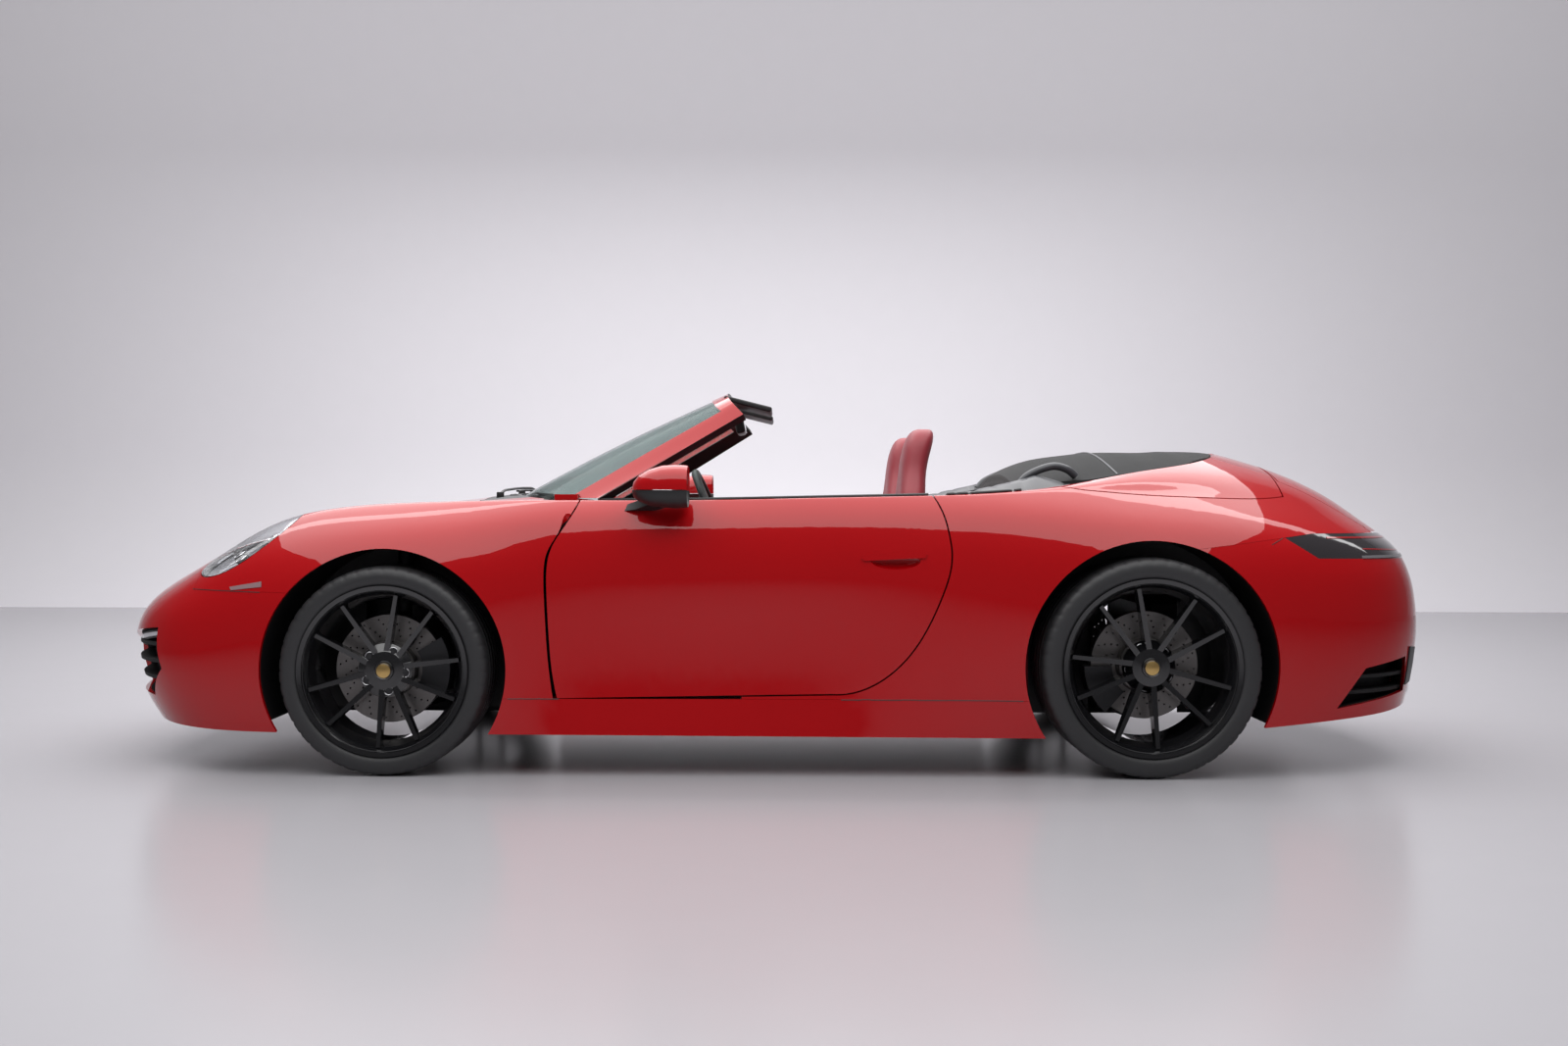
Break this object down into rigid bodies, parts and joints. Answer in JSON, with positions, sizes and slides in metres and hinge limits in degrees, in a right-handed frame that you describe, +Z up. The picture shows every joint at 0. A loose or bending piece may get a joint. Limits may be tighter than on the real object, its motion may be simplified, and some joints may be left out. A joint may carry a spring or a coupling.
{
  "type": "two-door convertible sports car",
  "caption": "Rear-engined two-door convertible with its cloth roof folded, opening doors, front lid and engine lid, steered front wheels and four rolling wheels.",
  "frame": {"origin": "on the ground, in the middle of the car's length and width", "axes": "+Z up; the nose points along -X and the car's left side is -Y"},
  "size_m": [4.517, 1.98, 1.269],
  "materials": {
    "paint": "gloss",
    "trim_black": "satin",
    "glass": "clear",
    "lamp_clear": "clear",
    "lamp_dark": "smoked",
    "rubber_tyre": "matt",
    "rim_black": "gloss black",
    "disc_steel": "machined",
    "running_gear": "cast",
    "leather_red": "satin",
    "dash_black": "satin",
    "top_fabric": "matt",
    "structure": "matt",
    "steel_bright": "brushed"
  },
  "bodies": {
    "chassis": {"cowl": "trim_black", "front_bumper": "paint", "front_fender_left": "paint", "front_fender_right": "paint", "headlamps": "lamp_clear", "rear_quarter_left": "paint", "rear_quarter_right": "paint", "rear_bumper": "paint", "tail_lamps": "lamp_dark", "top_lid": "paint", "door_pillars": "structure", "door_hinges": "structure", "side_sills": "paint", "floor_pan": "structure", "front_arch_liners": "trim_black", "rear_arch_liners": "trim_black", "luggage_tub": "trim_black", "windscreen_frame": "paint", "windscreen_glass": "glass", "front_suspension": "running_gear", "rear_suspension": "running_gear", "dashboard": "dash_black", "seat_left": "leather_red", "seat_right": "leather_red", "rear_seats": "leather_red", "centre_console": "dash_black", "folded_top": "top_fabric", "roof_well": "structure", "engine_block": "running_gear", "hood_hinges": "structure", "exhaust": "steel_bright", "front_grilles": "trim_black", "rear_outlets": "trim_black", "front_beam": "structure", "rear_beam": "structure"},
    "door_left": {"door_left": "paint", "mirror_left": "paint"},
    "door_right": {"door_right": "paint", "mirror_right": "paint"},
    "hood": {"hood": "paint"},
    "engine_lid": {"engine_lid": "paint", "engine_grille": "trim_black", "rear_spoiler": "paint"},
    "steering_wheel": {"steering_wheel": "dash_black"},
    "knuckle_left": {"knuckle_front_left": "running_gear"},
    "wheel_front_left": {"tyre_front_left": "rubber_tyre", "rim_front_left": "rim_black", "disc_front_left": "disc_steel"},
    "wheel_rear_left": {"tyre_rear_left": "rubber_tyre", "rim_rear_left": "rim_black", "disc_rear_left": "disc_steel"},
    "knuckle_right": {"knuckle_front_right": "running_gear"},
    "wheel_front_right": {"tyre_front_right": "rubber_tyre", "rim_front_right": "rim_black", "disc_front_right": "disc_steel"},
    "wheel_rear_right": {"tyre_rear_right": "rubber_tyre", "rim_rear_right": "rim_black", "disc_rear_right": "disc_steel"}
  },
  "joints": [
    {"name": "door_left_hinge", "type": "hinge", "parent": "chassis", "child": "door_left", "pos_m": [-0.6795, -0.838, 0.51], "axis": [0, 0, -1], "range_deg": [0, 65]},
    {"name": "door_right_hinge", "type": "hinge", "parent": "chassis", "child": "door_right", "pos_m": [-0.6795, 0.838, 0.51], "axis": [0, 0, 1], "range_deg": [0, 65]},
    {"name": "hood_hinge", "type": "hinge", "parent": "chassis", "child": "hood", "pos_m": [-0.9355, 0, 0.865], "axis": [0, 1, 0], "range_deg": [0, 60]},
    {"name": "engine_lid_hinge", "type": "hinge", "parent": "chassis", "child": "engine_lid", "pos_m": [1.6565, 0, 1], "axis": [0, -1, 0], "range_deg": [0, 60]},
    {"name": "steer_left", "type": "hinge", "parent": "chassis", "child": "knuckle_left", "pos_m": [-1.2595, -0.735, 0.34], "axis": [0, 0, 1], "range_deg": [-30, 30]},
    {"name": "steer_right", "type": "hinge", "parent": "chassis", "child": "knuckle_right", "pos_m": [-1.2595, 0.735, 0.34], "axis": [0, 0, 1], "range_deg": [-30, 30]},
    {"name": "steering_wheel_turn", "type": "hinge", "parent": "chassis", "child": "steering_wheel", "pos_m": [-0.2195, -0.372, 0.812], "axis": [0.9135, 0, 0.4067], "range_deg": [-420, 420]},
    {"name": "roll_front_left", "type": "hinge", "parent": "knuckle_left", "child": "wheel_front_left", "pos_m": [-1.2595, -0.785, 0.334], "axis": [0, 1, 0], "continuous": true},
    {"name": "roll_rear_left", "type": "hinge", "parent": "chassis", "child": "wheel_rear_left", "pos_m": [1.1905, -0.768, 0.352], "axis": [0, 1, 0], "continuous": true},
    {"name": "roll_front_right", "type": "hinge", "parent": "knuckle_right", "child": "wheel_front_right", "pos_m": [-1.2595, 0.785, 0.334], "axis": [0, 1, 0], "continuous": true},
    {"name": "roll_rear_right", "type": "hinge", "parent": "chassis", "child": "wheel_rear_right", "pos_m": [1.1905, 0.768, 0.352], "axis": [0, 1, 0], "continuous": true}
  ],
  "couplings": [
    {"joint": "steer_right", "follows": "steer_left", "ratio": 1},
    {"joint": "steering_wheel_turn", "follows": "steer_left", "ratio": 14}
  ]
}
